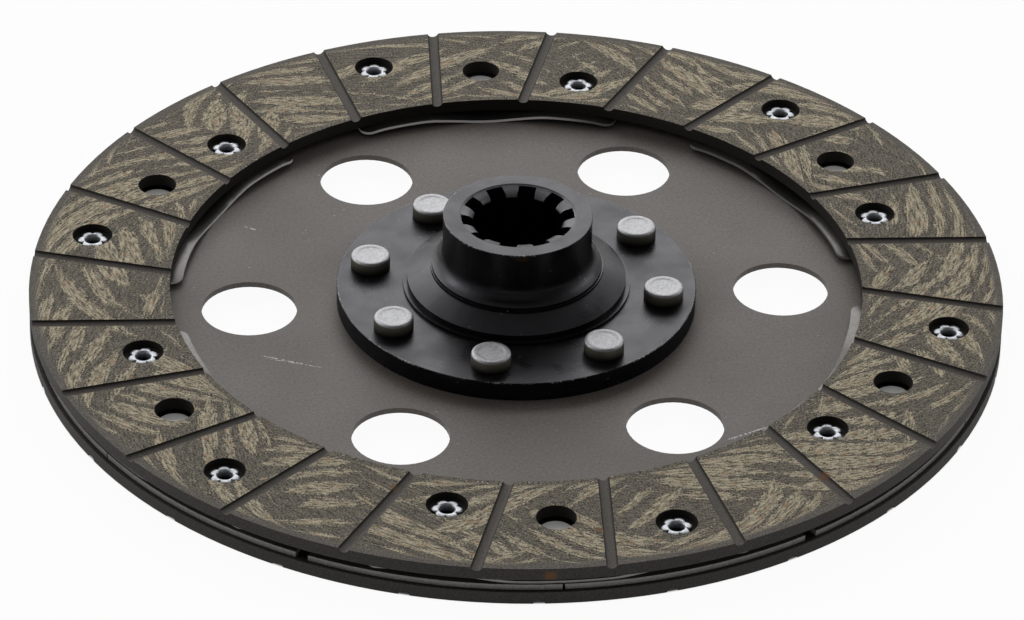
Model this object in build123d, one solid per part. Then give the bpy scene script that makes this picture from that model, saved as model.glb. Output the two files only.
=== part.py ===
from build123d import *
import os
from math import asin, atan2, degrees, radians, sin, sqrt, tan

# Rigid clutch disc: a splined hub riveted to a carrier plate, which holds two friction facings at its rim.
# The lower facing is riveted to the plate. The upper one is riveted to six waved cushion segments, which are
# riveted to the plate at their middles and let the upper facing come down by the height of their waves.
# The axis is Z, with z = 0 at the underside of the lower facing and X through one of the plate's round holes.
# Lengths are in millimetres and angles in degrees.

# Friction facings: wound rings with straight grooves that pass beside the axis
FACING_OUTER_DIAMETER = 250.0
FACING_WIDTH = 36.0
FACING_THICKNESS = 3.3
SECTOR_COUNT = 6
PADS_PER_SECTOR = 4
GROOVE_WIDTH = 2.9
GROOVE_DEPTH = 1.0
GROOVE_OFFSET = 17.3
UPPER_GROOVE_LEAD = -0.9
LOWER_GROOVE_LEAD = -3.4

# Holes in the facings: sunk seats for their own rivets and access holes over the segment rivets
RIVET_ROW_PITCH = 11.4
RIVET_ROW_INSET = 1.0
SEGMENT_RIVET_INSET = 2.9
SEAT_DIAMETER = 10.4
SEAT_DEPTH = 2.0
ACCESS_HOLE_DIAMETER = 10.0

# Tubular rivets of the facings
FACING_RIVET_SHANK_DIAMETER = 5.0
FACING_RIVET_BORE_DIAMETER = 3.8
FACING_RIVET_BORE_DEPTH = 2.0
FACING_RIVET_HEAD_DIAMETER = 7.8
FACING_RIVET_HEAD_THICKNESS = 0.7
FACING_RIVET_ROLL_DIAMETER = 7.7
FACING_RIVET_ROLL_HEIGHT = 0.75

# Cushion segments: waved spring-steel sectors
SEGMENT_THICKNESS = 0.7
SEGMENT_WAVE = 1.5
SEGMENT_TIP_RISE = 0.2
SEGMENT_GAP_ANGLE = 14.7
SEGMENT_LIP = 2.8
SEGMENT_RECESS = 1.6
SEGMENT_CORNER_RADIUS = 3.0
CREST_WIDTH = 14.0
MIDDLE_SEAT_WIDTH = 15.0
BEND_RADIUS = 40.0

# Flat-headed rivets that hold the segments
SEGMENT_RIVET_SHANK_DIAMETER = 5.0
SEGMENT_RIVET_HEAD_DIAMETER = 8.4
SEGMENT_RIVET_HEAD_THICKNESS = 0.7
SEGMENT_RIVET_TAIL_DIAMETER = 8.0
SEGMENT_RIVET_TAIL_THICKNESS = 0.8

# Carrier plate
PLATE_THICKNESS = 1.5
PLATE_RECESS = 1.15
PLATE_HOLE_DIAMETER = 24.6
PLATE_HOLE_SHIFT = 1.15
RIM_SLOT_WIDTH = 3.3
RIM_SLOT_DEPTH = 20.0
RIM_SLIT_WIDTH = 0.6
RIM_SLIT_DEPTH = 11.0

# Hub
BARREL_DIAMETER = 38.2
BARREL_HEIGHT = 20.5
BARREL_EDGE_CHAMFER = 0.5
FOOT_RADIUS = 5.0
FOOT_WIDTH = 2.75
FOOT_STEP = 0.6
FOOT_LEDGE_WIDTH = 0.4
FOOT_LEDGE_HEIGHT = 0.8
SHOULDER_TOP_HEIGHT = 5.1
SHOULDER_BASE_HEIGHT = 2.3
SHOULDER_WIDTH = 6.25
SHOULDER_LEDGE_WIDTH = 1.1
SHOULDER_LEDGE_HEIGHT = 0.75
FLANGE_LAND = 18.1
FLANGE_THICKNESS = 5.1
FLANGE_EDGE_CHAMFER = 0.15
SPIGOT_DIAMETER = 50.0
SPIGOT_PROTRUSION = 2.0
SPLINE_COUNT = 10
SPLINE_MAJOR_DIAMETER = 29.0
SPLINE_MINOR_DIAMETER = 23.0
SPLINE_SLOT_WIDTH = 4.5
SPLINE_TURN = 2.3
SPLINE_LEAD_IN = 2.0

# Hub rivets
HUB_RIVET_COUNT = 8
HUB_RIVET_TURN = 30.0
HUB_RIVET_SHIFT = 1.05
HUB_RIVET_SHANK_DIAMETER = 8.0
HUB_RIVET_HEAD_DIAMETER = 10.2
HUB_RIVET_HEAD_HEIGHT = 3.8
HUB_RIVET_TAIL_DIAMETER = 10.2
HUB_RIVET_TAIL_HEIGHT = 2.3
HUB_RIVET_EDGE_CHAMFER = 0.4

# Clearances
FIT_CLEARANCE = 0.1
HEAD_CLEARANCE = 0.8
CUT_MARGIN = 1.0

# Places that follow from the sizes above
outer_radius = FACING_OUTER_DIAMETER / 2
inner_radius = outer_radius - FACING_WIDTH
mean_radius = (outer_radius + inner_radius) / 2
sector_angle = 360 / SECTOR_COUNT
pad_angle = sector_angle / PADS_PER_SECTOR
segment_half_span = (sector_angle - SEGMENT_GAP_ANGLE) / 2
inner_row = mean_radius - RIVET_ROW_INSET - RIVET_ROW_PITCH / 2
outer_row = mean_radius - RIVET_ROW_INSET + RIVET_ROW_PITCH / 2
segment_rivet_radius = mean_radius - SEGMENT_RIVET_INSET
foot_radius = BARREL_DIAMETER / 2 + FOOT_WIDTH
shoulder_radius = foot_radius + SHOULDER_WIDTH
flange_radius = shoulder_radius + FLANGE_LAND
hub_rivet_radius = (shoulder_radius + flange_radius) / 2 + HUB_RIVET_SHIFT
plate_hole_radius = (flange_radius + inner_radius) / 2 + PLATE_HOLE_SHIFT
head_room_diameter = FACING_RIVET_HEAD_DIAMETER + 2 * HEAD_CLEARANCE
seat_floor = FACING_THICKNESS - SEAT_DEPTH
plate_bottom = FACING_THICKNESS
plate_top = plate_bottom + PLATE_THICKNESS
crest_bottom = plate_top + SEGMENT_WAVE
upper_facing_bottom = crest_bottom + SEGMENT_THICKNESS
sector_middles = [sector_angle * (i + 0.5) for i in range(SECTOR_COUNT)]


def at(radius, angle, z=0.0):
    """Place at a radius, an angle round the axis and a height."""
    return Rot(0, 0, angle) * Pos(radius, 0, z)


def drill(diameter, bottom, top):
    """Round cutter on its own axis between two heights."""
    return Pos(0, 0, (bottom + top) / 2) * Cylinder(diameter / 2, top - bottom)


def clear_hole(shank_diameter, bottom, top):
    """Hole for a shank through a wall between two heights."""
    return drill(shank_diameter + 2 * FIT_CLEARANCE, bottom - CUT_MARGIN, top + CUT_MARGIN)


def groove(angle):
    """Round-bottomed groove cutter at the top face of a facing that lies on z = 0."""
    radius = (GROOVE_WIDTH**2 / 4 + GROOVE_DEPTH**2) / (2 * GROOVE_DEPTH)
    length = outer_radius + CUT_MARGIN
    axis_height = FACING_THICKNESS - GROOVE_DEPTH + radius
    cutter = Rot(0, 90, 0) * Cylinder(radius, length)
    return Rot(0, 0, angle) * Pos(length / 2, GROOVE_OFFSET, axis_height) * cutter


def facing(groove_lead):
    """Friction ring that lies on z = 0 with its grooves, rivet seats and access holes open to the top."""
    ring = drill(FACING_OUTER_DIAMETER, 0, FACING_THICKNESS)
    ring -= drill(2 * inner_radius, -CUT_MARGIN, FACING_THICKNESS + CUT_MARGIN)
    first_groove = pad_angle / 2 - degrees(asin(GROOVE_OFFSET / mean_radius)) + groove_lead
    cuts = [groove(first_groove + pad_angle * i) for i in range(SECTOR_COUNT * PADS_PER_SECTOR)]
    for middle in sector_middles:
        access = drill(ACCESS_HOLE_DIAMETER, -CUT_MARGIN, FACING_THICKNESS + CUT_MARGIN)
        cuts.append(at(segment_rivet_radius, middle) * access)
        for radius, angle in ((inner_row, middle - pad_angle), (outer_row, middle + pad_angle)):
            cuts.append(at(radius, angle) * drill(SEAT_DIAMETER, seat_floor, FACING_THICKNESS + CUT_MARGIN))
            cuts.append(at(radius, angle) * clear_hole(FACING_RIVET_SHANK_DIAMETER, 0, seat_floor))
    return ring - cuts


def upper_facing():
    """Upper ring, on the crests of the cushion segments."""
    return Pos(0, 0, upper_facing_bottom) * facing(UPPER_GROOVE_LEAD)


def lower_facing():
    """The same ring turned over, under the carrier plate."""
    return Pos(0, 0, plate_bottom) * Rot(180, 0, 0) * facing(LOWER_GROOVE_LEAD)


def rim_cut(width, depth, angle):
    """Radial slot with a round end, open at the carrier plate's rim."""
    rim = outer_radius - PLATE_RECESS
    end = rim - depth + width / 2
    slot = Pos((end + rim + CUT_MARGIN) / 2, 0) * Rectangle(rim + CUT_MARGIN - end, width)
    slot += Pos(end, 0) * Circle(width / 2)
    cutter = extrude(slot, PLATE_THICKNESS + 2 * CUT_MARGIN)
    return Rot(0, 0, angle) * Pos(0, 0, plate_bottom - CUT_MARGIN) * cutter


def carrier_plate():
    """Stamped disc with round holes, rim slots, and holes for the rivets and for the heads above it."""
    below = plate_bottom - CUT_MARGIN
    above = plate_top + CUT_MARGIN
    plate = drill(FACING_OUTER_DIAMETER - 2 * PLATE_RECESS, plate_bottom, plate_top)
    cuts = [clear_hole(SPIGOT_DIAMETER, plate_bottom, plate_top)]
    for i in range(HUB_RIVET_COUNT):
        hole = clear_hole(HUB_RIVET_SHANK_DIAMETER, plate_bottom, plate_top)
        cuts.append(at(hub_rivet_radius, HUB_RIVET_TURN + 360 / HUB_RIVET_COUNT * i) * hole)
    for middle in sector_middles:
        edge = middle - sector_angle / 2
        cuts.append(at(plate_hole_radius, edge) * drill(PLATE_HOLE_DIAMETER, below, above))
        cuts.append(rim_cut(RIM_SLOT_WIDTH, RIM_SLOT_DEPTH, edge))
        cuts.append(rim_cut(RIM_SLIT_WIDTH, RIM_SLIT_DEPTH, middle))
        segment_hole = clear_hole(SEGMENT_RIVET_SHANK_DIAMETER, plate_bottom, plate_top)
        cuts.append(at(segment_rivet_radius, middle) * segment_hole)
        for own, other, turn in ((outer_row, inner_row, -pad_angle), (inner_row, outer_row, pad_angle)):
            shank_hole = clear_hole(FACING_RIVET_SHANK_DIAMETER, plate_bottom, plate_top)
            cuts.append(at(own, middle + turn) * shank_hole)
            cuts.append(at(other, middle + turn) * drill(head_room_diameter, below, above))
    return plate - cuts


def waved_sheet():
    """Sheet bent across a rivet line along X: flat at the middle, a ramp, a crest, a fall to the tip."""
    crest = CREST_WIDTH / 2
    foot = MIDDLE_SEAT_WIDTH / 2 - segment_rivet_radius * sin(radians(pad_angle))
    tip = (outer_radius - SEGMENT_RECESS) * sin(radians(segment_half_span - pad_angle))
    ramp = -crest - foot
    bend = min(BEND_RADIUS, 0.45 * ramp / tan(atan2(SEGMENT_WAVE, ramp) / 2))
    fall = (SEGMENT_WAVE - SEGMENT_TIP_RISE) / (tip - crest)
    points = [(-outer_radius, plate_top), (foot, plate_top), (-crest, crest_bottom), (crest, crest_bottom),
              (2 * tip, crest_bottom - fall * (2 * tip - crest))]
    underside = FilletPolyline(*points, radius=bend)
    top = Pos(0, SEGMENT_THICKNESS) * underside
    ends = [Line(underside @ i, top @ i) for i in (0, 1)]
    section = Plane.YZ * make_face(Curve() + [underside, top, *ends])
    return extrude(section, outer_radius)


def segment_outline():
    """Ring sector about the X axis with rounded corners."""
    inner = inner_radius - SEGMENT_LIP
    outer = outer_radius - SEGMENT_RECESS
    inner_arc = CenterArc((0, 0), inner, -segment_half_span, 2 * segment_half_span)
    outer_arc = CenterArc((0, 0), outer, -segment_half_span, 2 * segment_half_span)
    sides = [Line(inner_arc @ i, outer_arc @ i) for i in (0, 1)]
    outline = make_face(Curve() + [inner_arc, outer_arc, *sides])
    return fillet(outline.vertices(), SEGMENT_CORNER_RADIUS)


def cushion_segment(middle):
    """Waved sector with its rivet holes and room for the heads of the lower facing's rivets."""
    top = upper_facing_bottom + CUT_MARGIN
    one_side = Pos(outer_radius, outer_radius / 2) * Rectangle(2 * outer_radius, outer_radius)
    half_outline = segment_outline() & one_side
    half = Rot(0, 0, pad_angle) * waved_sheet()
    half &= Pos(0, 0, plate_bottom) * extrude(half_outline, top - plate_bottom)
    cuts = [at(segment_rivet_radius, 0) * clear_hole(SEGMENT_RIVET_SHANK_DIAMETER, plate_top, top)]
    for own, other, angle in ((inner_row, outer_row, -pad_angle), (outer_row, inner_row, pad_angle)):
        cuts.append(at(own, angle) * clear_hole(FACING_RIVET_SHANK_DIAMETER, plate_top, top))
        cuts.append(at(other, angle) * drill(head_room_diameter, plate_bottom, top))
    return Rot(0, 0, middle) * (half + mirror(half, Plane.XZ) - cuts)


def turned(points):
    """Solid of revolution of an outline given as (radius, height) points."""
    return revolve(Plane.XZ * make_face(Polyline(*points, close=True)), Axis.Z)


def tubular_rivet(grip):
    """Facing rivet with its head under z = 0, and its hollow end rolled outwards above the grip."""
    shank = FACING_RIVET_SHANK_DIAMETER / 2
    head = FACING_RIVET_HEAD_DIAMETER / 2
    roll = FACING_RIVET_ROLL_DIAMETER / 2
    bore = FACING_RIVET_BORE_DIAMETER / 2
    top = grip + FACING_RIVET_ROLL_HEIGHT
    bottom = -FACING_RIVET_HEAD_THICKNESS
    floor = top - FACING_RIVET_BORE_DEPTH
    return turned([(0, bottom), (head, bottom), (head, 0), (shank, 0), (shank, grip), (roll, grip),
                   (shank, top), (bore, top), (bore, floor), (0, floor)])


def upper_facing_rivets():
    """Two rivets a segment, from the crests up into the upper facing's seats."""
    rivet = tubular_rivet(SEGMENT_THICKNESS + seat_floor)
    places = [(inner_row, -pad_angle), (outer_row, pad_angle)]
    return [at(radius, middle + turn, crest_bottom) * rivet
            for middle in sector_middles for radius, turn in places]


def lower_facing_rivets():
    """Two rivets a sector, from the top of the plate down into the lower facing's seats."""
    rivet = Rot(180, 0, 0) * tubular_rivet(PLATE_THICKNESS + seat_floor)
    places = [(inner_row, pad_angle), (outer_row, -pad_angle)]
    return [at(radius, middle + turn, plate_top) * rivet
            for middle in sector_middles for radius, turn in places]


def segment_rivet(middle):
    """Flat-headed rivet through the middle of a segment and the plate."""
    shank = SEGMENT_RIVET_SHANK_DIAMETER / 2
    head = SEGMENT_RIVET_HEAD_DIAMETER / 2
    tail = SEGMENT_RIVET_TAIL_DIAMETER / 2
    seat = plate_top + SEGMENT_THICKNESS
    head_top = seat + SEGMENT_RIVET_HEAD_THICKNESS
    tail_bottom = plate_bottom - SEGMENT_RIVET_TAIL_THICKNESS
    rivet = turned([(0, tail_bottom), (tail, tail_bottom), (tail, plate_bottom), (shank, plate_bottom),
                    (shank, seat), (head, seat), (head, head_top), (0, head_top)])
    return at(segment_rivet_radius, middle) * rivet


def hub_rivet(angle):
    """Thick rivet through the hub's flange and the plate, with a tall head on the flange."""
    shank = HUB_RIVET_SHANK_DIAMETER / 2
    head = HUB_RIVET_HEAD_DIAMETER / 2
    tail = HUB_RIVET_TAIL_DIAMETER / 2
    edge = HUB_RIVET_EDGE_CHAMFER
    seat = plate_top + FLANGE_THICKNESS
    head_top = seat + HUB_RIVET_HEAD_HEIGHT
    tail_bottom = plate_bottom - HUB_RIVET_TAIL_HEIGHT
    rivet = turned([(0, tail_bottom), (tail - edge, tail_bottom), (tail, tail_bottom + edge),
                    (tail, plate_bottom), (shank, plate_bottom), (shank, seat), (head, seat),
                    (head, head_top - edge), (head - edge, head_top), (0, head_top)])
    return at(hub_rivet_radius, angle) * rivet


def hub_blank():
    """Turned outside of the hub: spigot, flange, cone between two ledges, filleted foot and barrel."""
    barrel = BARREL_DIAMETER / 2
    spigot = SPIGOT_DIAMETER / 2
    spigot_bottom = plate_bottom - SPIGOT_PROTRUSION
    face = plate_top + FLANGE_THICKNESS
    top = face + BARREL_HEIGHT
    edge = FLANGE_EDGE_CHAMFER
    lower_ledge = shoulder_radius + SHOULDER_LEDGE_WIDTH
    lower_ledge_top = face + SHOULDER_LEDGE_HEIGHT
    upper_ledge = foot_radius + FOOT_LEDGE_WIDTH
    shoulder_top = face + SHOULDER_TOP_HEIGHT
    upper_ledge_top = shoulder_top + FOOT_LEDGE_HEIGHT
    foot_top = upper_ledge_top + FOOT_STEP
    fillet_top = foot_top + sqrt(FOOT_RADIUS**2 - (FOOT_RADIUS - FOOT_WIDTH) ** 2)
    below = Polyline((0, spigot_bottom), (spigot, spigot_bottom), (spigot, plate_top),
                     (flange_radius, plate_top), (flange_radius, face - edge), (flange_radius - edge, face),
                     (lower_ledge, face), (lower_ledge, lower_ledge_top), (shoulder_radius, lower_ledge_top),
                     (shoulder_radius, face + SHOULDER_BASE_HEIGHT), (upper_ledge, shoulder_top),
                     (upper_ledge, upper_ledge_top), (foot_radius, upper_ledge_top), (foot_radius, foot_top))
    foot_fillet = TangentArc((barrel, fillet_top), (foot_radius, foot_top), tangent=(0, -1))
    above = Polyline((barrel, fillet_top), (barrel, top - BARREL_EDGE_CHAMFER),
                     (barrel - BARREL_EDGE_CHAMFER, top), (0, top), (0, spigot_bottom))
    outline = make_face(Curve() + [below, foot_fillet, above])
    return revolve(Plane.XZ * outline, Axis.Z)


def spline_cutter(bottom, top):
    """Splined bore: a round core, a ring of parallel slots, and a lead-in cone at each mouth."""
    major = SPLINE_MAJOR_DIAMETER / 2
    minor = SPLINE_MINOR_DIAMETER / 2
    core = Circle(minor)
    for i in range(SPLINE_COUNT):
        slot = Pos(major / 2, 0) * Rectangle(major, SPLINE_SLOT_WIDTH)
        core += Rot(0, 0, SPLINE_TURN + 360 / SPLINE_COUNT * i) * slot
    core &= Circle(major)
    cutter = Pos(0, 0, bottom - CUT_MARGIN) * extrude(core, top - bottom + 2 * CUT_MARGIN)
    upper_start = top - SPLINE_LEAD_IN
    lower_end = bottom + SPLINE_LEAD_IN
    upper_cone = turned([(0, upper_start), (minor, upper_start), (major, top), (0, top)])
    lower_cone = turned([(0, bottom), (major, bottom), (minor, lower_end), (0, lower_end)])
    return [cutter, upper_cone, lower_cone]


def hub():
    """Hub with its splined bore and the holes for its rivets."""
    bottom = plate_bottom - SPIGOT_PROTRUSION
    face = plate_top + FLANGE_THICKNESS
    cuts = spline_cutter(bottom, face + BARREL_HEIGHT)
    for i in range(HUB_RIVET_COUNT):
        hole = clear_hole(HUB_RIVET_SHANK_DIAMETER, plate_top, face)
        cuts.append(at(hub_rivet_radius, HUB_RIVET_TURN + 360 / HUB_RIVET_COUNT * i) * hole)
    return hub_blank() - cuts


def write(name, solids):
    """Write one node, made of one solid or of several separate ones."""
    export_step(Compound(solids), f"parts/{name}.step")


os.makedirs("parts", exist_ok=True)
write("hub", hub().solids())
write("carrier_plate", carrier_plate().solids())
write("lower_facing", lower_facing().solids())
write("upper_facing", upper_facing().solids())
for number, middle in enumerate(sector_middles, start=1):
    write(f"cushion_segment_{number}", cushion_segment(middle).solids())
    write(f"segment_rivet_{number}", segment_rivet(middle).solids())
for number in range(1, HUB_RIVET_COUNT + 1):
    angle = HUB_RIVET_TURN + 360 / HUB_RIVET_COUNT * (number - 1)
    write(f"hub_rivet_{number}", hub_rivet(angle).solids())
write("upper_facing_rivets", [solid for rivet in upper_facing_rivets() for solid in rivet.solids()])
write("lower_facing_rivets", [solid for rivet in lower_facing_rivets() for solid in rivet.solids()])
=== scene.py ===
import bpy
import numpy as np
from math import atan2, cos, hypot, pi, radians, sin
from mathutils import Matrix, Vector


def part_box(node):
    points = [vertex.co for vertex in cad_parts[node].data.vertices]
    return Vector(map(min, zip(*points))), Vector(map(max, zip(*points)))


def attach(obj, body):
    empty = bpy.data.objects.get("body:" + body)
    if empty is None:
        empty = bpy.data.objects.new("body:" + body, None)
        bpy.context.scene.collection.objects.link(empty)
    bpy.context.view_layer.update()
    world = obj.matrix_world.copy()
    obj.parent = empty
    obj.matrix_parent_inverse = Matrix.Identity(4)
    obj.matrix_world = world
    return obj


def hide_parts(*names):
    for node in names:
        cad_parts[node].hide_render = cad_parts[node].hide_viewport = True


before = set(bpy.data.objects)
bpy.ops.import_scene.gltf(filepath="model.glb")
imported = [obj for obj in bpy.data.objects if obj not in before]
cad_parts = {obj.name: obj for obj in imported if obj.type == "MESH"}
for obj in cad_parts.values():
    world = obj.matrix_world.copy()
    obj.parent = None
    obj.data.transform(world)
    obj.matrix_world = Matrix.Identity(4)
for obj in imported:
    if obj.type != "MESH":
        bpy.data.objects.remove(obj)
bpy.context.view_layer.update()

# Carrier plate: a flat disc stamped from cold-rolled sheet steel, which the hub and both facings are riveted to.
# It is phosphated, which gives an even, warm dark grey with a soft sheen and fine handling scratches.
MM = 0.001


def linear(code, alpha=1.0):
    """Turns an sRGB hex colour into linear RGBA by the standard two-part curve."""
    parts = [int(code[i:i + 2], 16) / 255 for i in (1, 3, 5)]
    return [p / 12.92 if p <= 0.04045 else ((p + 0.055) / 1.055) ** 2.4 for p in parts] + [alpha]


def node(tree, kind, inputs=None, **settings):
    """Adds a node with its settings, gives each named input a value or a link, and returns the outputs."""
    made = tree.nodes.new(kind)
    for key, value in settings.items():
        setattr(made, key, value)
    for key, value in (inputs or {}).items():
        if isinstance(value, bpy.types.NodeSocket):
            tree.links.new(value, made.inputs[key])
        else:
            made.inputs[key].default_value = value
    return made.outputs


def blank_material(name):
    """A new material with an empty tree: the material and its tree."""
    material = bpy.data.materials.new(name)
    material.use_nodes = True
    material.node_tree.nodes.clear()
    return material, material.node_tree


def phosphated_steel():
    """Phosphated sheet: cloudy grey crystals under a millimetre, a few pale specks, rubbed scratches that run from
    one point to another, and a paler wall round the rim, partly bare sheared steel and partly painted highlight."""
    material, tree = blank_material("phosphated_sheet_steel")
    place = node(tree, "ShaderNodeTexCoord")["Object"]
    cloud = node(tree, "ShaderNodeTexNoise", {"Vector": place, "Scale": 1 / (30 * MM), "Detail": 3.0})[0]
    grain = node(tree, "ShaderNodeTexNoise", {"Vector": place, "Scale": 1 / (0.7 * MM), "Detail": 2.0})[0]
    mixed = node(tree, "ShaderNodeMix", {0: 0.6, 2: cloud, 3: grain})[0]
    tone = node(tree, "ShaderNodeMapRange", {0: mixed, 1: 0.32, 2: 0.68})[0]
    colour = node(tree, "ShaderNodeMix", {0: tone, 6: linear("#494440"), 7: linear("#625c57")},
                  data_type="RGBA")[2]
    speck = node(tree, "ShaderNodeTexNoise", {"Vector": place, "Scale": 1 / (1.1 * MM), "Detail": 1.0})[0]
    rubbed = node(tree, "ShaderNodeMapRange", {0: speck, 1: 0.76, 2: 0.82, 4: 0.4})[0]
    for (x0, y0), (x1, y1), width in (((-67.1, -21.6), (-54.5, -27.0), 0.3), ((46.0, -66.9), (57.5, -61.6), 0.35),
                                      ((-66.0, -22.9), (-51.0, -28.4), 0.2), ((-68.2, 38.9), (-64.6, 36.7), 0.3)):
        length = hypot(x1 - x0, y1 - y0)
        along = node(tree, "ShaderNodeMapping",
                     {"Vector": place, "Location": (x0 * MM, y0 * MM, 0),
                      "Rotation": (0, 0, atan2(y1 - y0, x1 - x0))}, vector_type="TEXTURE")[0]
        run, off = node(tree, "ShaderNodeSeparateXYZ", {0: along})[:2]
        far = node(tree, "ShaderNodeMath", {0: run, 1: length / 2 * MM}, operation="SUBTRACT")[0]
        far = node(tree, "ShaderNodeMath", {0: far}, operation="ABSOLUTE")[0]
        inside = node(tree, "ShaderNodeMapRange", {0: far, 1: length / 2 * MM, 2: length / 3 * MM})[0]
        off = node(tree, "ShaderNodeMath", {0: off}, operation="ABSOLUTE")[0]
        line = node(tree, "ShaderNodeMapRange", {0: off, 1: width * MM, 2: width / 3 * MM})[0]
        broken = node(tree, "ShaderNodeMapRange", {0: grain, 1: 0.42, 2: 0.6})[0]
        line = node(tree, "ShaderNodeMath", {0: line, 1: inside}, operation="MULTIPLY")[0]
        line = node(tree, "ShaderNodeMath", {0: line, 1: broken}, operation="MULTIPLY")[0]
        rubbed = node(tree, "ShaderNodeMath", {0: rubbed, 1: line}, operation="MAXIMUM")[0]
    colour = node(tree, "ShaderNodeMix", {0: rubbed, 6: colour, 7: linear("#b4b1ad")}, data_type="RGBA")[2]
    # The rim's wall is painted paler: partly the bare sheared edge, partly painted highlight where the rim catches
    # the light.
    far_out = node(tree, "ShaderNodeVectorMath", {0: place}, operation="LENGTH")["Value"]
    rim = node(tree, "ShaderNodeMath", {0: far_out, 1: 120 * MM}, operation="GREATER_THAN")[0]
    upright = node(tree, "ShaderNodeSeparateXYZ", {0: node(tree, "ShaderNodeNewGeometry")["Normal"]})[2]
    sheared = node(tree, "ShaderNodeMapRange", {0: upright, 1: 0.6, 2: 0.3})[0]
    sheared = node(tree, "ShaderNodeMath", {0: sheared, 1: rim}, operation="MULTIPLY")[0]
    pale = node(tree, "ShaderNodeMix", {0: tone, 6: linear("#74716d"), 7: linear("#96938e")}, data_type="RGBA")[2]
    colour = node(tree, "ShaderNodeMix", {0: sheared, 6: colour, 7: pale}, data_type="RGBA")[2]
    bump = node(tree, "ShaderNodeBump", {"Strength": 0.25, "Distance": 0.05 * MM, "Height": grain})[0]
    rough = node(tree, "ShaderNodeMapRange", {0: cloud, 1: 0.3, 2: 0.7, 3: 0.45, 4: 0.58})[0]
    shader = node(tree, "ShaderNodeBsdfPrincipled",
                  {"Base Color": colour, "Metallic": 0.25, "Roughness": rough, "Normal": bump})[0]
    node(tree, "ShaderNodeOutputMaterial", {"Surface": shader})
    return material


plate_finish = phosphated_steel()
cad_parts["carrier_plate"].data.materials.clear()
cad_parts["carrier_plate"].data.materials.append(plate_finish)

# Hub: turned from a steel forging, with the spline broached through it, and riveted to the plate by its flange.
# It is blackened and oiled, so it is near black where it mirrors itself and grey where it mirrors the sky.
FLANGE_RADIUS, FLANGE_TOP = 46.2 * MM, 9.9 * MM
BARREL_RADIUS, BARREL_TOP = 19.1 * MM, 30.4 * MM


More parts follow.
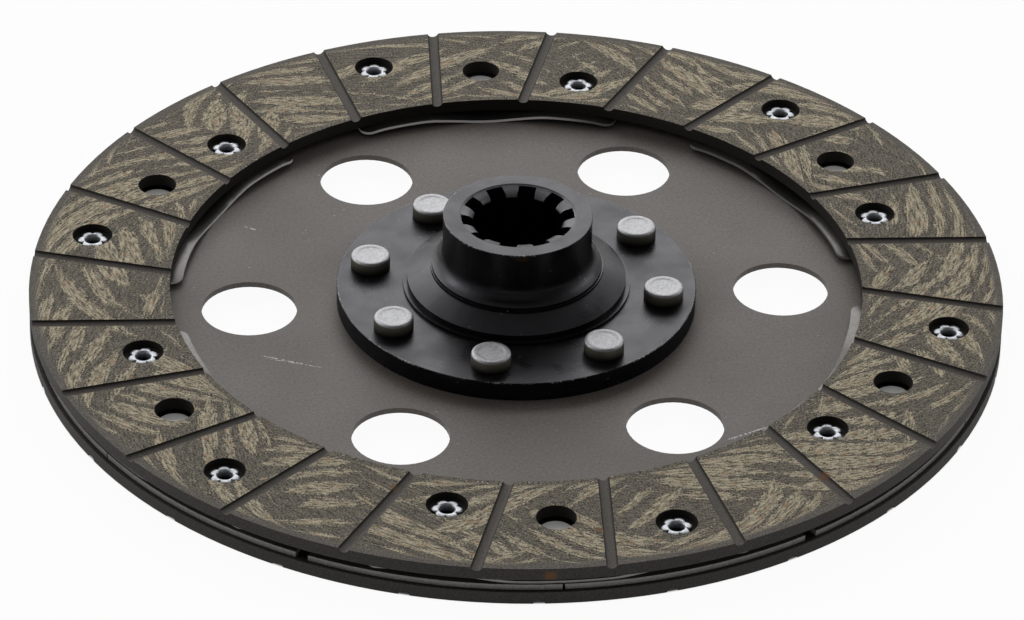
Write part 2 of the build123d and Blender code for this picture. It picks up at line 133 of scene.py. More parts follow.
def black_oxide():
    """Oiled black oxide: a deep blue-black that mirrors softly and unevenly, with turning marks, rubbed to bare
    steel in broken runs along the flange's and the barrel's outer edges, matt on upright walls, with one rusty
    spot and a little dust. The upward faces of the tooth ends are painted grey as painted light, and the bore is
    painted black as painted shade, so that it gives no light back."""
    material, tree = blank_material("oiled_black_oxide_steel")
    place = node(tree, "ShaderNodeTexCoord")["Object"]
    x, y, z = node(tree, "ShaderNodeSeparateXYZ", {0: place})
    flat = node(tree, "ShaderNodeCombineXYZ", {0: x, 1: y})[0]
    radius = node(tree, "ShaderNodeVectorMath", {0: flat}, operation="LENGTH")["Value"]
    grain = node(tree, "ShaderNodeTexNoise", {"Vector": place, "Scale": 1 / (0.5 * MM), "Detail": 2.0})[0]
    cloud = node(tree, "ShaderNodeTexNoise", {"Vector": place, "Scale": 1 / (9 * MM), "Detail": 3.0})[0]
    tone = node(tree, "ShaderNodeMix", {0: 0.5, 2: cloud, 3: grain})[0]
    colour = node(tree, "ShaderNodeMix", {0: tone, 6: linear("#040405"), 7: linear("#111112")},
                  data_type="RGBA")[2]
    for edge_radius, edge_height in ((FLANGE_RADIUS, FLANGE_TOP), (BARREL_RADIUS, BARREL_TOP)):
        spot = node(tree, "ShaderNodeCombineXYZ", {0: radius, 1: z})[0]
        away = node(tree, "ShaderNodeVectorMath", {0: spot, 1: (edge_radius, edge_height, 0)},
                    operation="DISTANCE")["Value"]
        near = node(tree, "ShaderNodeMapRange", {0: away, 1: 0.45 * MM, 2: 0.15 * MM})[0]
        run = node(tree, "ShaderNodeMix", {0: 0.45, 2: cloud, 3: grain})[0]
        bare = node(tree, "ShaderNodeMapRange", {0: run, 1: 0.52, 2: 0.62})[0]
        bare = node(tree, "ShaderNodeMath", {0: bare, 1: near}, operation="MULTIPLY")[0]
        colour = node(tree, "ShaderNodeMix", {0: bare, 6: colour, 7: linear("#a19f9c")}, data_type="RGBA")[2]
    stretched = node(tree, "ShaderNodeVectorMath", {0: place, 1: (0.6, 1.0, 1.6)}, operation="MULTIPLY")[0]
    away = node(tree, "ShaderNodeVectorMath", {0: stretched, 1: (-0.4 * MM, -19 * MM, 47.0 * MM)},
                operation="DISTANCE")["Value"]
    rust = node(tree, "ShaderNodeMapRange", {0: away, 1: 1.5 * MM, 2: 0.7 * MM, 4: 0.8})[0]
    colour = node(tree, "ShaderNodeMix", {0: rust, 6: colour, 7: linear("#33200f")}, data_type="RGBA")[2]
    turn = node(tree, "ShaderNodeMath", {0: y, 1: x}, operation="ARCTAN2")[0]
    turn = node(tree, "ShaderNodeMath", {0: turn, 1: 4.0}, operation="MULTIPLY")[0]
    ring = node(tree, "ShaderNodeMath", {0: radius, 1: 1 / (0.45 * MM)}, operation="MULTIPLY")[0]
    ring = node(tree, "ShaderNodeCombineXYZ", {0: ring, 1: turn})[0]
    ring = node(tree, "ShaderNodeTexNoise", {"Vector": ring, "Scale": 1.0, "Detail": 2.0})[0]
    smear = node(tree, "ShaderNodeMix", {0: 0.2, 2: cloud, 3: ring})[0]
    rough = node(tree, "ShaderNodeMapRange", {0: smear, 1: 0.36, 2: 0.64, 3: 0.24, 4: 0.42})[0]
    dust = node(tree, "ShaderNodeTexNoise", {"Vector": place, "Scale": 1 / (0.8 * MM), "Detail": 0.0})[0]
    dust = node(tree, "ShaderNodeMapRange", {0: dust, 1: 0.83, 2: 0.88, 4: 0.3})[0]
    colour = node(tree, "ShaderNodeMix", {0: dust, 6: colour, 7: linear("#8d8c8a")}, data_type="RGBA")[2]
    upright = node(tree, "ShaderNodeSeparateXYZ", {0: node(tree, "ShaderNodeNewGeometry")["Normal"]})[2]
    # Upward faces of the tooth ends are painted grey: painted light, as if lit from above.
    tooth = node(tree, "ShaderNodeMapRange", {0: radius, 1: 14.9 * MM, 2: 14.6 * MM})[0]
    painted_light_upward = node(tree, "ShaderNodeMapRange", {0: upright, 1: 0.15, 2: 0.35})[0]
    tooth = node(tree, "ShaderNodeMath", {0: tooth, 1: painted_light_upward}, operation="MULTIPLY")[0]
    grey = node(tree, "ShaderNodeMix", {0: grain, 6: linear("#3a3a3b"), 7: linear("#5c5c5e")}, data_type="RGBA")[2]
    colour = node(tree, "ShaderNodeMix", {0: tooth, 6: colour, 7: grey}, data_type="RGBA")[2]
    # Inside the bore the colour is painted black as painted shade, and made fully metallic so that it gives no light
    # back.
    deep = node(tree, "ShaderNodeMapRange", {0: z, 1: BARREL_TOP - 1.8 * MM, 2: BARREL_TOP - 2.3 * MM})[0]
    hub_bore_painted_shade = node(tree, "ShaderNodeMapRange", {0: radius, 1: 15.0 * MM, 2: 14.7 * MM})[0]
    hub_bore_painted_shade = node(tree, "ShaderNodeMath", {0: hub_bore_painted_shade, 1: deep}, operation="MULTIPLY")[0]
    colour = node(tree, "ShaderNodeMix", {0: hub_bore_painted_shade, 6: colour, 7: linear("#040404")}, data_type="RGBA")[2]
    rough = node(tree, "ShaderNodeMix", {0: hub_bore_painted_shade, 2: rough, 3: 0.8})[0]
    height = node(tree, "ShaderNodeMix", {0: 0.4, 2: grain, 3: ring})[0]
    bump = node(tree, "ShaderNodeBump", {"Strength": 0.3, "Distance": 0.05 * MM, "Height": height})[0]
    shader = node(tree, "ShaderNodeBsdfPrincipled",
                  {"Base Color": colour, "Metallic": hub_bore_painted_shade, "Roughness": rough, "IOR": 1.5, "Normal": bump,
                   "Specular Tint": linear("#f1f1fb")})[0]
    wall = node(tree, "ShaderNodeMapRange", {0: upright, 1: 0.5, 2: 0.2, 4: 0.6})[0]
    matt = node(tree, "ShaderNodeBsdfDiffuse", {"Color": colour})[0]
    shader = node(tree, "ShaderNodeMixShader", {0: wall, 1: shader, 2: matt})[0]
    node(tree, "ShaderNodeOutputMaterial", {"Surface": shader})
    return material


def lathe(name, radius, height, places, spins, finish, turn=None):
    """Profiles carried round their own axis: rings of points at radius(profile, turn) and height(profile, turn),
    set down at each place (x, y) and turned by its spin, joined by quads with the last turn meeting the first.
    With even turns both ends are closed by caps. With turns of their own, as round a bore, the last ring meets
    the first."""
    steps, turns = radius.shape
    through = turn is not None
    turn = turn if through else np.linspace(0, 2 * pi, turns, endpoint=False)
    turn = turn + np.array(spins)[:, None, None]
    tall = np.broadcast_to(height, (len(places), steps, turns))
    ring = np.stack([radius * np.cos(turn), radius * np.sin(turn), tall], -1)
    points = (ring + np.array([[x, y, 0] for x, y in places])[:, None, None]).reshape(-1, 3)
    row, column = np.meshgrid(np.arange(steps if through else steps - 1), np.arange(turns), indexing="ij")
    above, after = (row + 1) % steps, (column + 1) % turns
    quads = np.stack([row * turns + column, row * turns + after, above * turns + after,
                      above * turns + column], -1).reshape(-1, 4)
    faces = []
    for i in range(len(places)):
        start = i * steps * turns
        faces += (quads + start).tolist()
        if not through:
            faces.append((start + np.arange(turns)[::-1]).tolist())
            faces.append((start + (steps - 1) * turns + np.arange(turns)).tolist())
    mesh = bpy.data.meshes.new(name)
    mesh.from_pydata(points.tolist(), [], faces)
    mesh.shade_smooth()
    mesh.set_sharp_from_angle(angle=radians(40))
    mesh.materials.append(finish)
    piece = bpy.data.objects.new(name, mesh)
    bpy.context.scene.collection.objects.link(piece)
    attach(piece, "root")
    return piece


def splined_hub():
    """The hub's profile from the spigot over flange, cone, foot and barrel and down the bore, carried round its axis.
    In the bore each ring swings out to ten slots with parallel flanks: at radius r a flank lies
    arcsin(half a slot / r) from the slot's middle. The mouth is rounded over each tooth."""
    fillet, fillet_middle, fillet_turn = 5, (24.1, 20.865), 1.1041
    bend = np.linspace(fillet_turn, 0, 8)
    foot = np.stack([fillet_middle[0] - fillet * np.cos(bend), fillet_middle[1] - fillet * np.sin(bend)], -1)
    spigot = [[25.0, 1.3], [25.0, 4.8]]
    flange = [[46.2, 4.8], [46.2, 9.75], [46.05, 9.9]]
    shoulder = [[29.2, 9.9], [29.2, 10.65], [28.1, 10.65], [28.1, 12.2]]
    cone = [[22.25, 15.0], [22.25, 15.8], [21.85, 15.8]]
    barrel = [[19.1, 30.1], [19.1, 30.28], [19.07, 30.36], [19.0, 30.4], [18.85, 30.4]]
    mouth = [[15.25, 30.4], [15.1, 30.4], [14.75, 30.25]]
    outside = np.concatenate([spigot, flange, shoulder, cone, foot, barrel, mouth])
    tooth = np.array([[14.4, 30.1], [13.6, 29.9], [12.8, 29.62], [12.2, 29.32], [11.8, 28.98], [11.58, 28.65],
                      [11.5, 28.35], [11.5, 3.3], [14.4, 1.3]])
    profile = np.concatenate([outside, tooth])
    root, half_slot, slots = 14.5, 2.25, 10
    flank = np.full(len(profile), np.arcsin(half_slot / root))
    edge = np.maximum(np.arcsin(half_slot / np.clip(profile[:, 0], 11.5, root)), flank + radians(0.3))
    side = np.stack([-edge, -flank, -flank / 2, 0 * flank, flank / 2, flank, edge], -1)
    before = np.broadcast_to(np.radians([-18.0, -15.7, -13.4]), (len(profile), 3))
    pitch = np.concatenate([before, side, -before[:, :0:-1]], -1)
    turn = (radians(2.3) + radians(36) * np.arange(slots)[:, None] + pitch[:, None]).reshape(len(profile), -1)
    in_slot = np.tile((np.arange(12) > 3) & (np.arange(12) < 9), slots)
    in_bore = np.arange(len(profile)) >= len(outside)
    radius = np.where(in_bore[:, None] & in_slot, root, profile[:, :1])
    return radius * MM, np.repeat(profile[:, 1:], turn.shape[1], axis=1) * MM, turn


radius, height, turn = splined_hub()
hub = lathe("splined_hub", radius, height, [(0, 0)], [0.0], black_oxide(), turn)
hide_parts("hub")

# Hub rivets: eight thick steel rivets that clamp the flange to the plate, each with a tall head pressed flat.
# The heads are bright satin steel on top, with the ring that the closing tool left.
RIVET_CIRCLE = 38.2 * MM
RIVET_ANGLES = [radians(30 + 45 * i) for i in range(8)]


def satin_steel():
    """Cold-headed steel: a satin mid grey with fine pits on top, olive and matt down the sides of the head, with
    painted shade darkening the sides towards the flange."""
    material, tree = blank_material("cold_headed_satin_steel")
    place = node(tree, "ShaderNodeTexCoord")["Object"]
    grain = node(tree, "ShaderNodeTexNoise", {"Vector": place, "Scale": 1 / (0.6 * MM), "Detail": 3.0})[0]
    colour = node(tree, "ShaderNodeMix", {0: grain, 6: linear("#838384"), 7: linear("#c7c7ca")},
                  data_type="RGBA")[2]
    upright = node(tree, "ShaderNodeSeparateXYZ", {0: node(tree, "ShaderNodeNewGeometry")["Normal"]})[2]
    down_side = node(tree, "ShaderNodeMapRange", {0: upright, 1: 0.55, 2: 0.2})[0]
    z = node(tree, "ShaderNodeSeparateXYZ", {0: place})[2]
    # The sides of the head darken towards the flange: painted shade where the head meets the flange.
    shade_toward_flange = node(tree, "ShaderNodeMapRange", {0: z, 1: 13.3 * MM, 2: 10.3 * MM})[0]
    side = node(tree, "ShaderNodeMix", {0: shade_toward_flange, 6: linear("#686357"), 7: linear("#15130f")}, data_type="RGBA")[2]
    colour = node(tree, "ShaderNodeMix", {0: down_side, 6: colour, 7: side}, data_type="RGBA")[2]
    metal = node(tree, "ShaderNodeMapRange", {0: down_side, 3: 1.0, 4: 0.4})[0]
    bump = node(tree, "ShaderNodeBump", {"Strength": 0.3, "Distance": 0.04 * MM, "Height": grain})[0]
    shader = node(tree, "ShaderNodeBsdfPrincipled",
                  {"Base Color": colour, "Metallic": metal, "Roughness": 0.55, "Normal": bump})[0]
    node(tree, "ShaderNodeOutputMaterial", {"Surface": shader})
    return material


rivet_finish = satin_steel()
RIVET_TURNS = 48
tail_and_shank = [[4.7, 1.0], [5.0, 1.1], [5.1, 1.4], [5.1, 3.3], [4.0, 3.3], [4.0, 9.9]]
head_side = [[4.9, 9.9], [5.08, 10.2], [5.1, 11.5], [5.06, 13.0], [4.9, 13.45], [4.6, 13.66], [4.2, 13.7]]
closing_ring = [[3.45, 13.68], [3.25, 13.6], [3.05, 13.58], [1.5, 13.6]]
profile = np.array(tail_and_shank + head_side + closing_ring)
profile_radius = np.repeat(profile[:, :1] * MM, RIVET_TURNS, axis=1)
profile_height = np.repeat(profile[:, 1:] * MM, RIVET_TURNS, axis=1)
for number, angle in enumerate(RIVET_ANGLES, start=1):
    spot = (RIVET_CIRCLE * cos(angle), RIVET_CIRCLE * sin(angle))
    head = lathe(f"hub_rivet_turned_{number}", profile_radius, profile_height, [spot], [0.0], rivet_finish)
    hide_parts(f"hub_rivet_{number}")

# Lower facing: a ring of friction material wound from yarn in resin, pressed, cured and ground flat.
# Its grooves clear dust and air. It is riveted to the underside of the plate.


def friction_material(name, ground_height, ground_side, stains=()):
    """Wound yarn in resin. Yarns swing between bore and rim, so they follow n * turn +- arccos of the place across
    the ring. Lines of both signs show as frayed olive streaks in a grey gritty matrix on the ground face only, one
    sign more than the other from patch to patch. Groove floors are plain and the outer rim wall a dark moulded grey.
    Seats, faces more than about 1.5 mm below the ground face and walls inside the rim are painted nearly black as
    painted shade. Stains are brown spots at (x, y, z)."""
    material, tree = blank_material(name)
    mean, swing, swings, yarns = 107 * MM, 16.8 * MM, 5, 13
    streak_start, streak_edge = 1.67, 0.12
    place = node(tree, "ShaderNodeTexCoord")["Object"]
    x, y, z = node(tree, "ShaderNodeSeparateXYZ", {0: place})
    flat = node(tree, "ShaderNodeCombineXYZ", {0: x, 1: y})[0]
    radius = node(tree, "ShaderNodeVectorMath", {0: flat}, operation="LENGTH")["Value"]
    turn = node(tree, "ShaderNodeMath", {0: y, 1: x}, operation="ARCTAN2")[0]
    across = node(tree, "ShaderNodeMapRange", {0: radius, 1: mean - swing, 2: mean + swing, 3: -1.0, 4: 1.0})[0]
    arc = node(tree, "ShaderNodeMath", {0: across}, operation="ARCCOSINE")[0]
    wander = node(tree, "ShaderNodeTexNoise", {"Vector": flat, "Scale": 1 / (70 * MM), "Detail": 0.0})[0]
    wander = node(tree, "ShaderNodeMapRange", {0: wander, 1: 0.25, 2: 0.75, 3: -0.5, 4: 0.5})[0]
    patch = node(tree, "ShaderNodeTexNoise", {"Vector": flat, "Scale": 1 / (33 * MM), "Detail": 0.0})[0]
    lean = node(tree, "ShaderNodeMapRange", {0: patch, 1: 0.40, 2: 0.60, 3: -0.3, 4: 0.3})[0]
    grit = node(tree, "ShaderNodeTexNoise", {"Vector": place, "Scale": 1 / (0.45 * MM), "Detail": 2.0})[0]
    streaks, fibres = [], []
    for sign in (1.0, -1.0):
        wave = node(tree, "ShaderNodeMath", {0: arc, 1: sign, 2: wander}, operation="MULTIPLY_ADD")[0]
        wave = node(tree, "ShaderNodeMath", {0: turn, 1: float(swings), 2: wave}, operation="MULTIPLY_ADD")[0]
        count = node(tree, "ShaderNodeMath", {0: wave, 1: yarns / (2 * pi)}, operation="MULTIPLY")[0]
        own = node(tree, "ShaderNodeMath", {0: count}, operation="FLOOR")[0]
        ridge = node(tree, "ShaderNodeMath", {0: count, 1: 0.5}, operation="PINGPONG")[0]
        along = node(tree, "ShaderNodeMath", {0: radius, 1: 1 / (11 * MM)}, operation="MULTIPLY")[0]
        key = node(tree, "ShaderNodeMath", {0: own, 1: 5.37, 2: 40 * sign}, operation="MULTIPLY_ADD")[0]
        spot = node(tree, "ShaderNodeCombineXYZ", {0: key, 1: along, 2: turn})[0]
        shown = node(tree, "ShaderNodeTexNoise", {"Vector": spot, "Scale": 1.0, "Detail": 1.0})[0]
        strand = node(tree, "ShaderNodeMath", {0: count, 1: 10.0}, operation="MULTIPLY")[0]
        length = node(tree, "ShaderNodeMath", {0: radius, 1: 1 / (1.3 * MM)}, operation="MULTIPLY")[0]
        thread = node(tree, "ShaderNodeCombineXYZ", {0: strand, 1: length, 2: sign})[0]
        fibre = node(tree, "ShaderNodeTexNoise", {"Vector": thread, "Scale": 1.0, "Detail": 3.0})[0]
        level = node(tree, "ShaderNodeMath", {0: shown, 1: 1.6, 2: ridge}, operation="MULTIPLY_ADD")[0]
        ragged = node(tree, "ShaderNodeMix", {0: 0.5, 2: grit, 3: fibre})[0]
        level = node(tree, "ShaderNodeMath", {0: ragged, 1: 0.8, 2: level}, operation="MULTIPLY_ADD")[0]
        level = node(tree, "ShaderNodeMath", {0: lean, 1: sign, 2: level}, operation="MULTIPLY_ADD")[0]
        streaks.append(
            node(tree, "ShaderNodeMapRange", {0: level, 1: streak_start, 2: streak_start + streak_edge})[0])
        fibres.append(fibre)
    yarn = node(tree, "ShaderNodeMath", {0: streaks[0], 1: streaks[1]}, operation="MAXIMUM")[0]
    fibre = node(tree, "ShaderNodeMix", {0: streaks[1], 2: fibres[0], 3: fibres[1]})[0]
    off_middle = node(tree, "ShaderNodeMath", {0: radius, 1: mean}, operation="SUBTRACT")[0]
    off_middle = node(tree, "ShaderNodeMath", {0: off_middle}, operation="ABSOLUTE")[0]
    off_middle = node(tree, "ShaderNodeMath", {0: fibre, 1: 3 * MM, 2: off_middle}, operation="MULTIPLY_ADD")[0]
    field = node(tree, "ShaderNodeMapRange", {0: off_middle, 1: 18.4 * MM, 2: 17.6 * MM})[0]
    yarn = node(tree, "ShaderNodeMath", {0: yarn, 1: field}, operation="MULTIPLY")[0]
    hatch = node(tree, "ShaderNodeMix", {0: 0.4, 2: grit, 3: fibre})[0]
    hatch = node(tree, "ShaderNodeMapRange", {0: hatch, 1: 0.40, 2: 0.60})[0]
    matrix = node(tree, "ShaderNodeMix", {0: hatch, 6: linear("#29251f"), 7: linear("#7d7566")},
                  data_type="RGBA")[2]
    tan = node(tree, "ShaderNodeMix", {0: 0.6, 2: grit, 3: fibre})[0]
    tan = node(tree, "ShaderNodeMapRange", {0: tan, 1: 0.40, 2: 0.60})[0]
    tan = node(tree, "ShaderNodeMix", {0: tan, 6: linear("#433d31"), 7: linear("#beb399")}, data_type="RGBA")[2]
    bit = node(tree, "ShaderNodeTexNoise", {"Vector": flat, "Scale": 1 / (2.2 * MM), "Detail": 2.0})[0]
    bit = node(tree, "ShaderNodeMapRange", {0: bit, 1: 0.56, 2: 0.70, 4: 0.6})[0]
    tan = node(tree, "ShaderNodeMix", {0: bit, 6: tan, 7: linear("#9a7757")}, data_type="RGBA")[2]
    face = node(tree, "ShaderNodeMix", {0: yarn, 6: matrix, 7: tan}, data_type="RGBA")[2]
    speck = node(tree, "ShaderNodeTexNoise", {"Vector": place, "Scale": 1 / (0.6 * MM), "Detail": 0.0})[0]
    edges = node(tree, "ShaderNodeMapRange", {0: off_middle, 1: 13 * MM, 2: 18 * MM, 3: 0.0, 4: 0.05})[0]
    speck = node(tree, "ShaderNodeMath", {0: speck, 1: edges}, operation="ADD")[0]
    speck = node(tree, "ShaderNodeMapRange", {0: speck, 1: 0.79, 2: 0.85, 4: 0.75})[0]
    face = node(tree, "ShaderNodeMix", {0: speck, 6: face, 7: linear("#c2bfb6")}, data_type="RGBA")[2]
    rough_grit = node(tree, "ShaderNodeMapRange", {0: grit, 1: 0.32, 2: 0.68})[0]
    plain = node(tree, "ShaderNodeMix", {0: rough_grit, 6: linear("#4e4a46"), 7: linear("#625d58")},
                 data_type="RGBA")[2]
    rim = node(tree, "ShaderNodeMapRange", {0: radius, 1: 122.0 * MM, 2: 123.4 * MM, 4: 0.7})[0]
    face = node(tree, "ShaderNodeMix", {0: rim, 6: face, 7: plain}, data_type="RGBA")[2]
    side = node(tree, "ShaderNodeMath", {0: z, 1: ground_side}, operation="MULTIPLY")[0]
    top = ground_side * ground_height
    ground = node(tree, "ShaderNodeMath", {0: side, 1: top - 0.05 * MM}, operation="GREATER_THAN")[0]
    # Faces more than about 1.5 mm below the ground face are painted nearly black as painted shade.
    painted_deep_shade = node(tree, "ShaderNodeMapRange", {0: side, 1: top - 1.2 * MM, 2: top - 1.6 * MM})[0]
    plain = node(tree, "ShaderNodeMix", {0: painted_deep_shade, 6: plain, 7: linear("#1b1814")}, data_type="RGBA")[2]
    colour = node(tree, "ShaderNodeMix", {0: ground, 6: plain, 7: face}, data_type="RGBA")[2]
    upright = node(tree, "ShaderNodeSeparateXYZ", {0: node(tree, "ShaderNodeNewGeometry")["Normal"]})[2]
    upright = node(tree, "ShaderNodeMath", {0: upright, 1: ground_side}, operation="MULTIPLY")[0]
    moulded = node(tree, "ShaderNodeMapRange", {0: upright, 1: 0.85, 2: 0.55})[0]
    # Walls inside the rim, in grooves, seats and holes, are painted nearly black as painted shade; the outer rim wall
    # keeps the dark moulded grey.
    outside = node(tree, "ShaderNodeMapRange", {0: radius, 1: 124.0 * MM, 2: 124.8 * MM})[0]
    wall = node(tree, "ShaderNodeMix", {0: rough_grit, 6: linear("#2a2826"), 7: linear("#43403d")},
                data_type="RGBA")[2]
    wall = node(tree, "ShaderNodeMix", {0: outside, 6: linear("#1b1814"), 7: wall}, data_type="RGBA")[2]
    colour = node(tree, "ShaderNodeMix", {0: moulded, 6: colour, 7: wall}, data_type="RGBA")[2]
    for stain_x, stain_y, stain_z, reach in stains:
        away = node(tree, "ShaderNodeVectorMath", {0: place, 1: (stain_x * MM, stain_y * MM, stain_z * MM)},
                    operation="DISTANCE")["Value"]
        away = node(tree, "ShaderNodeMath", {0: bit, 1: -2 * MM, 2: away}, operation="MULTIPLY_ADD")[0]
        mark = node(tree, "ShaderNodeMapRange", {0: away, 1: reach * MM, 2: 0.4 * reach * MM, 4: 0.8})[0]
        colour = node(tree, "ShaderNodeMix", {0: mark, 6: colour, 7: linear("#6d4c2c")}, data_type="RGBA")[2]
    height = node(tree, "ShaderNodeMath", {0: yarn, 1: 0.5, 2: grit}, operation="MULTIPLY_ADD")[0]
    bump = node(tree, "ShaderNodeBump", {"Strength": 0.35, "Distance": 0.12 * MM, "Height": height})[0]
    shader = node(tree, "ShaderNodeBsdfPrincipled",
                  {"Base Color": colour, "Roughness": 0.75, "IOR": 1.4, "Normal": bump})[0]
    node(tree, "ShaderNodeOutputMaterial", {"Surface": shader})
    return material


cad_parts["lower_facing"].data.materials.clear()
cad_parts["lower_facing"].data.materials.append(friction_material("wound_yarn_friction_lower", 0.0, -1.0))

# Facing rivets: tubular steel rivets, zinc plated, whose hollow ends split into petals as they are rolled outwards.
# The lower set holds the lower facing to the plate.


def zinc_plate(name, mouth):
    """Bright zinc plate: a pale bluish grey metal, a little cloudy on the petals, and painted dark as painted shade
    more than a millimetre from the mouth, down the bore."""
    material, tree = blank_material(name)
    place = node(tree, "ShaderNodeTexCoord")["Object"]
    z = node(tree, "ShaderNodeSeparateXYZ", {0: place})[2]
    # More than a millimetre from the mouth the zinc is painted dark as painted shade, down the bore.
    down = node(tree, "ShaderNodeMath", {0: z, 1: mouth}, operation="SUBTRACT")[0]
    down = node(tree, "ShaderNodeMath", {0: down}, operation="ABSOLUTE")[0]
    rivet_bore_painted_shade = node(tree, "ShaderNodeMapRange", {0: down, 1: 0.9 * MM, 2: 2.2 * MM})[0]
    grain = node(tree, "ShaderNodeTexNoise", {"Vector": place, "Scale": 1 / (0.8 * MM), "Detail": 2.0})[0]
    colour = node(tree, "ShaderNodeMix", {0: grain, 6: linear("#7d8085"), 7: linear("#d6d9dd")},
                  data_type="RGBA")[2]
    colour = node(tree, "ShaderNodeMix", {0: rivet_bore_painted_shade, 6: colour, 7: linear("#363a40")}, data_type="RGBA")[2]
    shader = node(tree, "ShaderNodeBsdfPrincipled",
                  {"Base Color": colour, "Metallic": 0.8, "Roughness": 0.42})[0]
    node(tree, "ShaderNodeOutputMaterial", {"Surface": shader})
    return material


def petal_rivet(grip, flip):
    """Tubular rivet as a profile carried round its axis: flat head, shank, and a rolled end whose rim swings in and
    out six times a turn as the square root of |sin 3 turn|, so that rounded petals part at narrow slits. Flipped,
    the heights change sign and the profile runs the other way, so that faces still point outwards."""
    turns = 96
    lobe = np.abs(np.sin(3 * np.linspace(0, 2 * pi, turns, endpoint=False))) ** 0.5
    plain = np.ones(turns)
    rows = [(3.6 * plain, -0.7), (3.9 * plain, -0.55), (3.9 * plain, 0.0), (2.5 * plain, 0.0),
            (2.5 * plain, grip + 0.02), (2.5 + 0.6 * lobe, grip + 0.06), (2.52 + 1.15 * lobe, grip + 0.2),
            (2.55 + 1.3 * lobe, grip + 0.32), (2.55 + 1.28 * lobe, grip + 0.45), (2.52 + 1.1 * lobe, grip + 0.6),
            (2.46 + 0.75 * lobe, grip + 0.72), (2.38 + 0.35 * lobe, grip + 0.77), (2.25 * plain, grip + 0.74),
            (2.08 * plain, grip + 0.62), (1.96 * plain, grip + 0.4), (1.9 * plain, grip + 0.0), (1.9 * plain, -0.3)]
    radius = np.array([r for r, h in rows]) * MM
    height = np.array([h * plain for r, h in rows]) * MM
    return (radius[::-1], -height[::-1]) if flip else (radius, height)


sectors = [radians(30 + 60 * i) for i in range(6)]
inner_row, outer_row, pad = 100.3 * MM, 111.7 * MM, radians(15)
spins = [2.4 * i for i in range(12)]
lower_spots = [(r * cos(a + t), r * sin(a + t)) for a in sectors for r, t in ((inner_row, pad), (outer_row, -pad))]
radius, height = petal_rivet(2.8, True)
plate_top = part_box("carrier_plate")[1][2]
lower_rivets = lathe("lower_facing_petal_rivets", radius, height + plate_top, lower_spots, spins,
                     zinc_plate("zinc_plated_lower_rivet", plate_top - 3.55 * MM))
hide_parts("lower_facing_rivets")

# Cushion segments: six waved sectors of hardened spring steel between the plate and the upper facing.
# They are blued grey, with bright sheared edges, and give the clutch its soft take-up.


def spring_steel():
    """Hardened strip: a neutral grey, finely rolled, with pale upright sheared edges, partly bare steel and partly
    painted highlight, strongest towards the bore and on the left side of the disc."""
    material, tree = blank_material("blued_spring_steel")
    place = node(tree, "ShaderNodeTexCoord")["Object"]
    grain = node(tree, "ShaderNodeTexNoise", {"Vector": place, "Scale": 1 / (1.2 * MM), "Detail": 3.0})[0]
    colour = node(tree, "ShaderNodeMix", {0: grain, 6: linear("#4b4947"), 7: linear("#696764")},
                  data_type="RGBA")[2]
    upright = node(tree, "ShaderNodeSeparateXYZ", {0: node(tree, "ShaderNodeNewGeometry")["Normal"]})[2]
    upright = node(tree, "ShaderNodeMath", {0: upright}, operation="ABSOLUTE")[0]
    sheared = node(tree, "ShaderNodeMapRange", {0: upright, 1: 0.5, 2: 0.2})[0]
    x = node(tree, "ShaderNodeSeparateXYZ", {0: place})[0]
    # The upright edges are painted pale, strongest towards the bore and on the left side: partly bare sheared steel,
    # partly painted highlight.
    painted_edge_highlight = node(tree, "ShaderNodeMapRange", {0: x, 1: 28 * MM, 2: 14 * MM, 3: 0.15})[0]
    far_out = node(tree, "ShaderNodeVectorMath", {0: place}, operation="LENGTH")["Value"]
    inner = node(tree, "ShaderNodeMapRange", {0: far_out, 1: 110 * MM, 2: 95 * MM, 3: 0.25})[0]
    painted_edge_highlight = node(tree, "ShaderNodeMath", {0: painted_edge_highlight, 1: inner}, operation="MULTIPLY")[0]
    painted_edge_highlight = node(tree, "ShaderNodeMath", {0: sheared, 1: painted_edge_highlight}, operation="MULTIPLY")[0]
    colour = node(tree, "ShaderNodeMix", {0: painted_edge_highlight, 6: colour, 7: linear("#f4f2ef")}, data_type="RGBA")[2]
    metal = node(tree, "ShaderNodeMapRange", {0: sheared, 3: 0.92, 4: 0.1})[0]
    shader = node(tree, "ShaderNodeBsdfPrincipled",
                  {"Base Color": colour, "Metallic": metal, "Roughness": 0.3})[0]
    node(tree, "ShaderNodeOutputMaterial", {"Surface": shader})
    return material


segment_finish = spring_steel()
for number in range(1, 7):
    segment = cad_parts[f"cushion_segment_{number}"]
    segment.data.materials.clear()
    segment.data.materials.append(segment_finish)

# Segment rivets: flat-headed rivets of bright drawn steel that hold each cushion segment to the plate.
# Their heads are near-white and almost matt: partly pale steel, partly painted highlight for the light they catch
# down the access holes.
pale_head_and_painted_highlight, tree = blank_material("bright_rivet_steel")
shader = node(tree, "ShaderNodeBsdfPrincipled",
              {"Base Color": linear("#f8f8f6"), "Metallic": 0.1, "Roughness": 0.5})[0]
node(tree, "ShaderNodeOutputMaterial", {"Surface": shader})
for number in range(1, 7):
    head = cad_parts[f"segment_rivet_{number}"]
    head.data.materials.clear()
    head.data.materials.append(pale_head_and_painted_highlight)

# Upper facing: the same wound ring, riveted to the crests of the cushion segments.
# Its ground face carries the yarn streaks, the sunk rivet seats and the access holes.
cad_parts["upper_facing"].data.materials.clear()
facing_bottom, facing_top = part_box("upper_facing")[0][2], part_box("upper_facing")[1][2]
stains = ((-38.1, -88.7, 10.3, 1.4), (67.3, -90.8, 10.3, 2.0), (10.2, -109.9, 10.3, 1.5), (-3.2, -124.8, 8.2, 1.7))
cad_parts["upper_facing"].data.materials.append(
    friction_material("wound_yarn_friction_upper", facing_top, 1.0, stains))

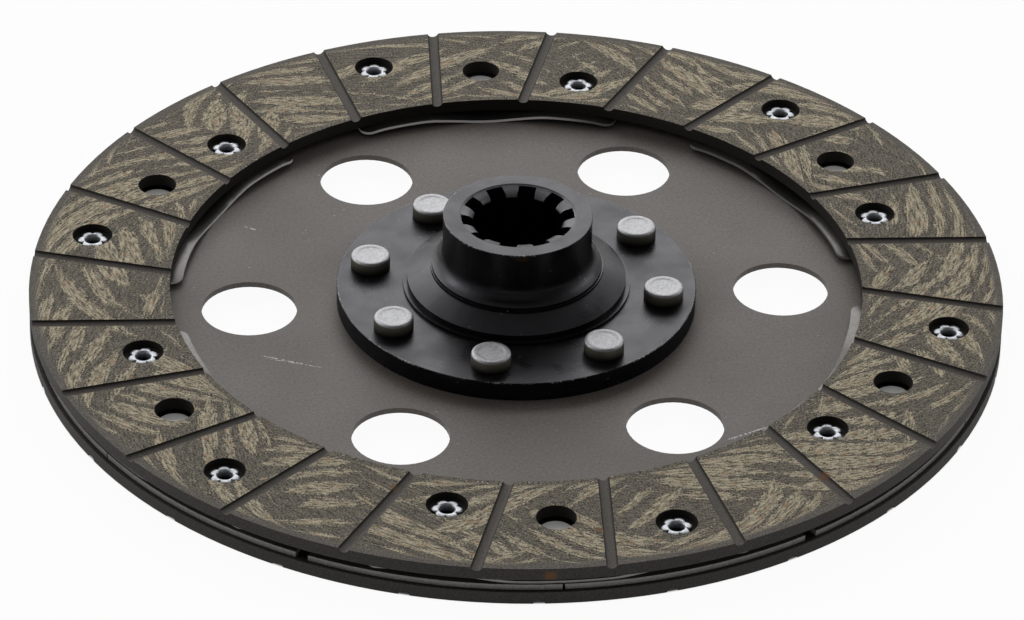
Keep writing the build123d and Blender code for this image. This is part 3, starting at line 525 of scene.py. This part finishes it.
# Upper facing rivets: the same zinc-plated tubular rivets, put in from below through the cushion segments.
# They are closed upwards, so their split petals show in the seats of the upper facing.
upper_spots = [(r * cos(a + t), r * sin(a + t)) for a in sectors for r, t in ((inner_row, -pad), (outer_row, pad))]
radius, height = petal_rivet(2.0, False)
crest_bottom = facing_bottom - 0.7 * MM
upper_rivets = lathe("upper_facing_petal_rivets", radius, height + crest_bottom, upper_spots, spins,
                     zinc_plate("zinc_plated_upper_rivet", crest_bottom + 2.75 * MM))
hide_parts("upper_facing_rivets")

# Studio: a pale floor in a white surround with a dark ceiling, a wide soft box behind, a top light
# and two side lights. The camera is a long lens at the photograph's view, tilted a little about its own axis.
floor_mesh = bpy.data.meshes.new("studio_floor")
FLOOR_HALF, FLOOR_HEIGHT = 3.0, -0.02 * MM
corners = [(x * FLOOR_HALF, y * FLOOR_HALF, FLOOR_HEIGHT) for x, y in ((-1, -1), (1, -1), (1, 1), (-1, 1))]
floor_mesh.from_pydata(corners, [], [(0, 1, 2, 3)])
floor = bpy.data.objects.new("studio_floor", floor_mesh)
bpy.context.scene.collection.objects.link(floor)
floor_material, tree = blank_material("pale_studio_floor")
path = node(tree, "ShaderNodeLightPath")
seen = node(tree, "ShaderNodeMath", {0: path["Is Camera Ray"], 1: path["Is Glossy Ray"]}, operation="MAXIMUM")[0]
seen = node(tree, "ShaderNodeMath", {0: seen, 1: path["Is Transmission Ray"]}, operation="MAXIMUM")[0]
from_middle = node(tree, "ShaderNodeVectorMath", {0: node(tree, "ShaderNodeTexCoord")["Object"]},
                   operation="LENGTH")["Value"]
# The floor's white glow is cut away under the hub and under the ring of facings: painted shadow where the part's
# shadow falls.
glow_outside_hub_shadow = node(tree, "ShaderNodeMapRange", {0: from_middle, 1: 38 * MM, 2: 44 * MM, 4: 0.95})[0]
from_ring = node(tree, "ShaderNodeMath", {0: from_middle, 1: 107.5 * MM}, operation="SUBTRACT")[0]
from_ring = node(tree, "ShaderNodeMath", {0: from_ring}, operation="ABSOLUTE")[0]
glow_outside_ring_shadow = node(tree, "ShaderNodeMapRange", {0: from_ring, 1: 17.0 * MM, 2: 17.7 * MM})[0]
share = node(tree, "ShaderNodeMath", {0: seen, 1: glow_outside_hub_shadow}, operation="MULTIPLY")[0]
share = node(tree, "ShaderNodeMath", {0: share, 1: glow_outside_ring_shadow}, operation="MULTIPLY")[0]
matt = node(tree, "ShaderNodeBsdfDiffuse", {"Color": linear("#e9e9e9")})[0]
white = node(tree, "ShaderNodeEmission", {"Color": linear("#ffffff"), "Strength": 1.0})[0]
surface = node(tree, "ShaderNodeMixShader", {0: share, 1: matt, 2: white})[0]
node(tree, "ShaderNodeOutputMaterial", {"Surface": surface})
floor_mesh.materials.append(floor_material)

world = bpy.data.worlds.new("white_surround")
bpy.context.scene.world = world
world.use_nodes = True
tree = world.node_tree
tree.nodes.clear()
path = node(tree, "ShaderNodeLightPath")
seen = node(tree, "ShaderNodeMath", {0: path["Is Camera Ray"], 1: path["Is Glossy Ray"]}, operation="MAXIMUM")[0]
seen = node(tree, "ShaderNodeMath", {0: seen, 1: path["Is Transmission Ray"]}, operation="MAXIMUM")[0]
right, away, up = node(tree, "ShaderNodeSeparateXYZ", {0: node(tree, "ShaderNodeTexCoord")["Generated"]})
ceiling = node(tree, "ShaderNodeMapRange", {0: up, 1: 0.55, 2: 0.8, 3: 1.0, 4: 0.04})[0]
dim = node(tree, "ShaderNodeMapRange", {0: right, 1: 0.2, 2: 0.55, 3: 1.0, 4: 0.45})[0]
ceiling = node(tree, "ShaderNodeMath", {0: ceiling, 1: dim}, operation="MULTIPLY")[0]
dim = node(tree, "ShaderNodeMapRange", {0: away, 1: -0.5, 2: 0.2, 3: 0.15, 4: 1.0})[0]
ceiling = node(tree, "ShaderNodeMath", {0: ceiling, 1: dim}, operation="MULTIPLY")[0]
ambient = node(tree, "ShaderNodeBackground", {"Color": linear("#ffffff"), "Strength": 0.3})[0]
backdrop = node(tree, "ShaderNodeBackground", {"Color": linear("#ffffff"), "Strength": ceiling})[0]
surround = node(tree, "ShaderNodeMixShader", {0: seen, 1: ambient, 2: backdrop})[0]
node(tree, "ShaderNodeOutputWorld", {"Surface": surround})

for name, spot, wide, tall, watts in (("back_soft_box", (-0.1, 1.1, 0.78), 2.0, 0.9, 10.0),
                                      ("top_light", (0.0, 0.35, 1.3), 1.6, 1.6, 1.5),
                                      ("left_light", (-1.1, 0.3, 0.6), 0.6, 0.6, 3.0),
                                      ("right_light", (1.1, 0.3, 0.6), 0.6, 0.6, 2.1)):
    lamp = bpy.data.lights.new(name, "AREA")
    lamp.shape = "RECTANGLE"
    lamp.size, lamp.size_y = wide, tall
    lamp.energy = watts
    light = bpy.data.objects.new(name, lamp)
    light.location = spot
    light.rotation_euler = Vector(spot).to_track_quat("Z", "Y").to_euler()
    bpy.context.scene.collection.objects.link(light)

VIEW_TURN, VIEW_RISE, VIEW_ROLL = radians(-6.018), radians(33.41), radians(1.241)
VIEW_DISTANCE, FOCAL_PIXELS, IMAGE_WIDTH = 1.467479, 5706.1, 1024
SHIFT_RIGHT, SHIFT_UP = -4.381, -28.077
VIEW_AIM = Vector((0, 0, 0.010))
back = Vector((sin(VIEW_TURN) * cos(VIEW_RISE), -cos(VIEW_TURN) * cos(VIEW_RISE), sin(VIEW_RISE)))
level = Vector((cos(VIEW_TURN), sin(VIEW_TURN), 0))
upright = back.cross(level)
across = cos(VIEW_ROLL) * level + sin(VIEW_ROLL) * upright
above = -sin(VIEW_ROLL) * level + cos(VIEW_ROLL) * upright
lens = bpy.data.cameras.new("long_lens")
lens.sensor_width = 36.0
lens.lens = FOCAL_PIXELS / IMAGE_WIDTH * lens.sensor_width
lens.shift_x, lens.shift_y = SHIFT_RIGHT / IMAGE_WIDTH, SHIFT_UP / IMAGE_WIDTH
camera = bpy.data.objects.new("long_lens", lens)
facing = Matrix((across, above, back)).transposed().to_4x4()
camera.matrix_world = Matrix.Translation(VIEW_AIM + VIEW_DISTANCE * back) @ facing
bpy.context.scene.collection.objects.link(camera)
bpy.context.scene.camera = camera
bpy.context.scene.view_settings.view_transform = "Standard"
